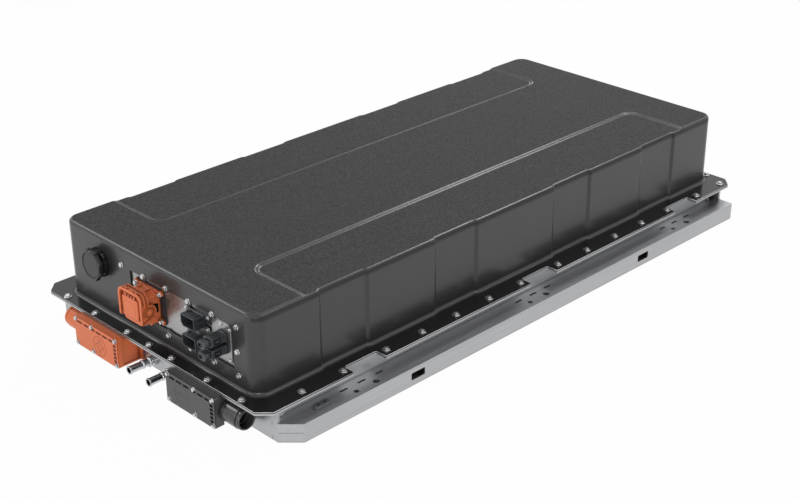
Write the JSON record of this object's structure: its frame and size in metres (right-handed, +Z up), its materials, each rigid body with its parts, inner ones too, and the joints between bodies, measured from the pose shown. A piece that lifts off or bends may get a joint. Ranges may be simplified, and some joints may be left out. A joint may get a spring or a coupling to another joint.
{
  "type": "traction battery",
  "caption": "Long low vehicle battery pack: formed lid bolted to an aluminium tray, with service disconnect, power outlets, wiring headers, vent and coolant pipes at one end.",
  "frame": {"origin": "centre of the underside of the tray, midway between its ends and between its side rails", "axes": "+Z up, +Y along the pack away from its connectors, +X to the right when looking at the connector end"},
  "size_m": [0.774, 1.525, 0.2478],
  "materials": {
    "cover_coat": "black powder coat with a fine grain",
    "rail_aluminium": "plain extruded aluminium",
    "sheet_aluminium": "rolled aluminium sheet",
    "locator_grey": "dark grey coated steel",
    "zinc_steel": "bright zinc plating",
    "seal_rubber": "black moulded rubber",
    "orange_plastic": "moulded orange, satin",
    "black_plastic": "moulded black, satin",
    "vent_plastic": "moulded black, satin",
    "membrane_white": "porous breather membrane",
    "pipe_steel": "polished steel tube",
    "contact_brass": "plated contact metal",
    "busbar_copper": "bare copper bar",
    "cell_wrap": "blue insulating film over an aluminium can",
    "pad_grey": "soft heat-conducting pad",
    "cover_plastic": "white vacuum-formed sheet",
    "board_green": "solder-masked circuit board",
    "ceramic_cream": "ceramic and moulded bodies"
  },
  "bodies": {
    "pack": {"lid": "cover_coat", "lid_seal": "seal_rubber", "side_rail_left": "rail_aluminium", "side_rail_right": "rail_aluminium", "front_beam": "rail_aluminium", "rear_beam": "rail_aluminium", "floor_plate": "sheet_aluminium", "cold_plate": "sheet_aluminium", "cross_members": "rail_aluminium", "locating_blocks": "locator_grey", "flange_screws": "zinc_steel", "flange_nuts": "zinc_steel", "connector_plate": "sheet_aluminium", "panel_seal": "seal_rubber", "panel_screws": "zinc_steel", "panel_nuts": "zinc_steel", "disconnect_gasket": "seal_rubber", "disconnect_base": "orange_plastic", "disconnect_plug": "orange_plastic", "disconnect_screws": "zinc_steel", "disconnect_fuse": "ceramic_cream", "lv_header_upper": "black_plastic", "lv_header_lower": "black_plastic", "lv_pins": "contact_brass", "lv_screws": "zinc_steel", "aux_plate": "sheet_aluminium", "aux_plug_upper": "black_plastic", "aux_plug_lower": "black_plastic", "aux_screws": "zinc_steel", "vent_seal": "seal_rubber", "vent_base": "vent_plastic", "vent_membrane": "membrane_white", "vent_cap": "vent_plastic", "vent_nut": "vent_plastic", "hv_pos_housing": "orange_plastic", "hv_pos_cover": "orange_plastic", "hv_pos_gland": "orange_plastic", "hv_pos_screws": "zinc_steel", "hv_neg_housing": "black_plastic", "hv_neg_cover": "black_plastic", "hv_neg_gland": "black_plastic", "hv_neg_screws": "zinc_steel", "hv_terminals": "contact_brass", "coolant_inlet": "pipe_steel", "coolant_outlet": "pipe_steel", "coolant_manifold": "sheet_aluminium", "cell_module_front": "cell_wrap", "cell_module_middle": "cell_wrap", "cell_module_rear": "cell_wrap", "thermal_pads": "pad_grey", "module_end_plates": "sheet_aluminium", "cell_busbars": "busbar_copper", "module_covers": "cover_plastic", "bms_case": "black_plastic", "bms_board": "board_green", "contactors": "ceramic_cream", "main_fuse": "ceramic_cream", "hv_busbars": "busbar_copper"},
    "lever": {"disconnect_lever": "orange_plastic"}
  },
  "joints": [
    {"name": "lever_hinge", "type": "hinge", "parent": "pack", "child": "lever", "pos_m": [-0.016, -0.7455, 0.1605], "axis": [1, 0, 0], "range_deg": [0, 90]}
  ]
}
